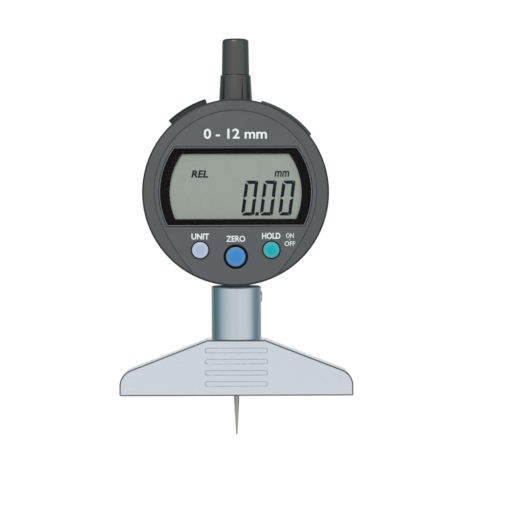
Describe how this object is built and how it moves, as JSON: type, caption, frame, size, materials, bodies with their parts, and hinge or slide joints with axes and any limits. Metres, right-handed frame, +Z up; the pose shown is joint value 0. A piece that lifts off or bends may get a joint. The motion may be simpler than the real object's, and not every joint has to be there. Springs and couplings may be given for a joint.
{
  "type": "depth gauge",
  "caption": "Depth gauge: round digital indicator with a shield-shaped face, held by its stem in a sleeve over a roof-shaped steel base with a tapered contact needle.",
  "frame": {"origin": "centre of the contact needle's flat tip, on the spindle axis, with the spindle fully down", "axes": "+Z up along the spindle, +Y from the display towards the back cover, +X to the right as the display is read"},
  "size_m": [0.075, 0.0251, 0.128],
  "materials": {
    "ground_steel": "fine ground, satin",
    "bright_steel": "turned, bright satin",
    "dark_steel": "black oxide",
    "spring_steel": "bright",
    "brass": "turned",
    "aluminium": "machined",
    "case_plastic": "fine moulded texture",
    "panel_plastic": "smooth matt",
    "collar_plastic": "satin",
    "black_plastic": "smooth",
    "rubber": "matt",
    "clear_glass": "polished",
    "display": "display behind glass",
    "scale_glass": "polished",
    "circuit_board": "solder mask",
    "copper": "coated",
    "mode_colour": "satin",
    "set_colour": "satin",
    "data_colour": "satin"
  },
  "bodies": {
    "root": {"base": "ground_steel", "sleeve": "bright_steel", "clamp_screw": "dark_steel", "clamp_pad": "brass", "stem": "bright_steel", "front_case": "case_plastic", "rear_case": "case_plastic", "back_cover": "case_plastic", "face_panel": "panel_plastic", "window_bezel": "black_plastic", "window": "clear_glass", "lcd_panel": "display", "lcd_frame": "black_plastic", "zebra_strip_upper": "rubber", "zebra_strip_lower": "rubber", "main_board": "circuit_board", "controller_chip": "black_plastic", "keypad_mat": "rubber", "back_screw_1": "dark_steel", "back_screw_2": "dark_steel", "back_screw_3": "dark_steel", "back_screw_4": "dark_steel", "board_screw_1": "dark_steel", "board_screw_2": "dark_steel", "upper_bush": "brass", "lower_bush": "brass", "reader_head": "copper", "guide_rail": "black_plastic", "return_spring": "spring_steel", "spring_post": "spring_steel", "cap_boss": "collar_plastic", "battery_contact_plus": "spring_steel", "battery_contact_minus": "spring_steel", "data_socket": "black_plastic"},
    "spindle": {"spindle": "bright_steel", "needle_point": "bright_steel", "stop_ring": "rubber", "scale_carrier": "aluminium", "linear_scale": "scale_glass", "guide_pin": "spring_steel"},
    "mode_button": {"mode_button": "mode_colour"},
    "set_button": {"set_button": "set_colour"},
    "data_button": {"data_button": "data_colour"},
    "battery_drawer": {"battery_drawer": "case_plastic", "coin_cell": "spring_steel"},
    "data_cover": {"data_cover": "rubber"},
    "dust_cap": {"dust_cap": "collar_plastic"}
  },
  "joints": [
    {"name": "spindle_slide", "type": "slide", "parent": "root", "child": "spindle", "axis": [0, 0, 1], "range_m": [0, 0.0127], "stiffness_N_per_m": 15, "springref_m": -0.06, "deforming": ["return_spring"]},
    {"name": "mode_press", "type": "slide", "parent": "root", "child": "mode_button", "axis": [0, 1, 0], "range_m": [0, 0.0007], "stiffness_N_per_m": 500, "springref_m": -0.0015},
    {"name": "set_press", "type": "slide", "parent": "root", "child": "set_button", "axis": [0, 1, 0], "range_m": [0, 0.0007], "stiffness_N_per_m": 500, "springref_m": -0.0015},
    {"name": "data_press", "type": "slide", "parent": "root", "child": "data_button", "axis": [0, 1, 0], "range_m": [0, 0.0007], "stiffness_N_per_m": 500, "springref_m": -0.0015},
    {"name": "drawer_slide", "type": "slide", "parent": "root", "child": "battery_drawer", "axis": [0.5592, 0, 0.829], "range_m": [0, 0.015]},
    {"name": "data_cover_pull", "type": "slide", "parent": "root", "child": "data_cover", "axis": [-0.5038, 0, 0.8638], "range_m": [0, 0.01]},
    {"name": "dust_cap_lift", "type": "slide", "parent": "root", "child": "dust_cap", "axis": [0, 0, 1], "range_m": [0, 0.02]}
  ]
}
